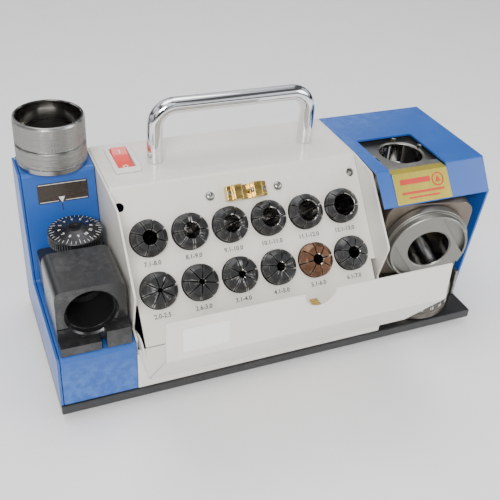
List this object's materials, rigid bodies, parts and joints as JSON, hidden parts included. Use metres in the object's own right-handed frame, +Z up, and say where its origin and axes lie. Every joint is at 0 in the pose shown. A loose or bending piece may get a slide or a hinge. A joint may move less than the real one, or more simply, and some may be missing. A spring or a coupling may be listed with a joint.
{
  "type": "drill bit sharpener",
  "caption": "Bench drill bit sharpener: folded steel cabinet with stored collets, flip-down cover, web setting unit with dial, swivelling grinding head, motor and carrying handle.",
  "frame": {"origin": "on the bench, under the middle of the machine's bounding box with the cover open", "axes": "+X towards the grinding head, +Y towards the back, +Z up"},
  "size_m": [0.278, 0.1766, 0.1465],
  "materials": {
    "blue_paint": "semi-gloss powder coat",
    "white_paint": "semi-gloss powder coat",
    "pale_paint": "satin",
    "black_metal": "gloss",
    "black_plastic": "moulded",
    "white_plastic": "moulded",
    "red_plastic": "gloss",
    "rubber": "matte",
    "chrome": "polished",
    "steel": "ground",
    "dark_steel": "blackened and ground",
    "aluminium": "machined",
    "brass": "satin",
    "abrasive": "diamond grit"
  },
  "bodies": {
    "cabinet": {"base_plate": "black_metal", "setting_block": "black_metal", "setting_bracket": "black_metal", "foot_front_left": "rubber", "foot_front_right": "rubber", "foot_rear_left": "rubber", "foot_rear_right": "rubber", "left_housing": "blue_paint", "rear_cover": "blue_paint", "right_hood": "blue_paint", "left_side_plate": "pale_paint", "hinge_pin_left": "steel", "hinge_pin_right": "steel", "catch_screw_left": "steel", "catch_screw_right": "steel", "handle_screw_left": "steel", "handle_screw_right": "steel", "top_screw_rear": "steel", "top_screw_right": "steel", "motor_can": "steel", "holder_seat": "black_plastic", "cable_gland": "black_plastic", "centre_panel": "white_paint", "cheek_left": "white_paint", "cheek_right": "white_paint", "lower_front_wall": "white_paint", "switch_body": "white_plastic", "catch_body": "brass", "handle": "chrome", "head_frame": "aluminium", "top_socket_block": "aluminium", "motor_rear_cap": "aluminium", "motor_front_cap": "aluminium", "motor_cradle": "aluminium"},
    "cover": {"cover": "white_paint", "cover_strike": "brass"},
    "rocker": {"switch_rocker": "red_plastic"},
    "dial": {"setting_dial": "black_metal", "dial_spindle": "steel"},
    "holder": {"holder_body": "steel"},
    "holder_nut": {"holder_nut": "steel"},
    "collet_upper_1": {"collet_upper_1": "dark_steel"},
    "collet_upper_2": {"collet_upper_2": "dark_steel"},
    "collet_upper_3": {"collet_upper_3": "dark_steel"},
    "collet_upper_4": {"collet_upper_4": "dark_steel"},
    "collet_upper_5": {"collet_upper_5": "dark_steel"},
    "collet_upper_6": {"collet_upper_6": "dark_steel"},
    "collet_lower_1": {"collet_lower_1": "dark_steel"},
    "collet_lower_2": {"collet_lower_2": "dark_steel"},
    "collet_lower_3": {"collet_lower_3": "dark_steel"},
    "collet_lower_4": {"collet_lower_4": "dark_steel"},
    "collet_lower_5": {"collet_lower_5": "dark_steel"},
    "collet_lower_6": {"collet_lower_6": "dark_steel"},
    "turret": {"turret_drum": "aluminium", "socket_disc": "aluminium", "socket_plate": "aluminium", "turret_bracket": "aluminium"},
    "wheel": {"rotor_shaft": "steel", "grinding_wheel": "abrasive", "wheel_nut": "steel"}
  },
  "joints": [
    {"name": "cover_hinge", "type": "hinge", "parent": "cabinet", "child": "cover", "pos_m": [-0.01735, -0.02619, 0.0395], "axis": [-1, 0, 0], "range_deg": [0, 79]},
    {"name": "rocker_tilt", "type": "hinge", "parent": "cabinet", "child": "rocker", "pos_m": [-0.079, 0.05041, 0.1062], "axis": [-1, 0, 0], "range_deg": [0, 18]},
    {"name": "dial_turn", "type": "hinge", "parent": "cabinet", "child": "dial", "pos_m": [-0.1136, 0.02481, 0.08], "axis": [0, 0, 1], "range_deg": [-160, 160]},
    {"name": "holder_lift", "type": "slide", "parent": "cabinet", "child": "holder", "axis": [0, 0, 1], "range_m": [0, 0.04]},
    {"name": "holder_nut_turn", "type": "hinge", "parent": "holder", "child": "holder_nut", "pos_m": [-0.1173, 0.06141, 0.13], "axis": [0, 0, 1], "range_deg": [0, 330]},
    {"name": "turret_swivel", "type": "hinge", "parent": "cabinet", "child": "turret", "pos_m": [0.098, -0.01019, 0.02], "axis": [0, 0, 1], "range_deg": [-5, 20]},
    {"name": "wheel_spin", "type": "hinge", "parent": "cabinet", "child": "wheel", "pos_m": [0.092, 0.04181, 0.046], "axis": [1, 0, 0], "continuous": true},
    {"name": "collet_upper_1_lift", "type": "slide", "parent": "cabinet", "child": "collet_upper_1", "axis": [0, -0.766, 0.6428], "range_m": [0, 0.009]},
    {"name": "collet_upper_2_lift", "type": "slide", "parent": "cabinet", "child": "collet_upper_2", "axis": [0, -0.766, 0.6428], "range_m": [0, 0.009]},
    {"name": "collet_upper_3_lift", "type": "slide", "parent": "cabinet", "child": "collet_upper_3", "axis": [0, -0.766, 0.6428], "range_m": [0, 0.009]},
    {"name": "collet_upper_4_lift", "type": "slide", "parent": "cabinet", "child": "collet_upper_4", "axis": [0, -0.766, 0.6428], "range_m": [0, 0.009]},
    {"name": "collet_upper_5_lift", "type": "slide", "parent": "cabinet", "child": "collet_upper_5", "axis": [0, -0.766, 0.6428], "range_m": [0, 0.009]},
    {"name": "collet_upper_6_lift", "type": "slide", "parent": "cabinet", "child": "collet_upper_6", "axis": [0, -0.766, 0.6428], "range_m": [0, 0.009]},
    {"name": "collet_lower_1_lift", "type": "slide", "parent": "cabinet", "child": "collet_lower_1", "axis": [0, -0.766, 0.6428], "range_m": [0, 0.002]},
    {"name": "collet_lower_2_lift", "type": "slide", "parent": "cabinet", "child": "collet_lower_2", "axis": [0, -0.766, 0.6428], "range_m": [0, 0.002]},
    {"name": "collet_lower_3_lift", "type": "slide", "parent": "cabinet", "child": "collet_lower_3", "axis": [0, -0.766, 0.6428], "range_m": [0, 0.002]},
    {"name": "collet_lower_4_lift", "type": "slide", "parent": "cabinet", "child": "collet_lower_4", "axis": [0, -0.766, 0.6428], "range_m": [0, 0.002]},
    {"name": "collet_lower_5_lift", "type": "slide", "parent": "cabinet", "child": "collet_lower_5", "axis": [0, -0.766, 0.6428], "range_m": [0, 0.002]},
    {"name": "collet_lower_6_lift", "type": "slide", "parent": "cabinet", "child": "collet_lower_6", "axis": [0, -0.766, 0.6428], "range_m": [0, 0.002]}
  ]
}
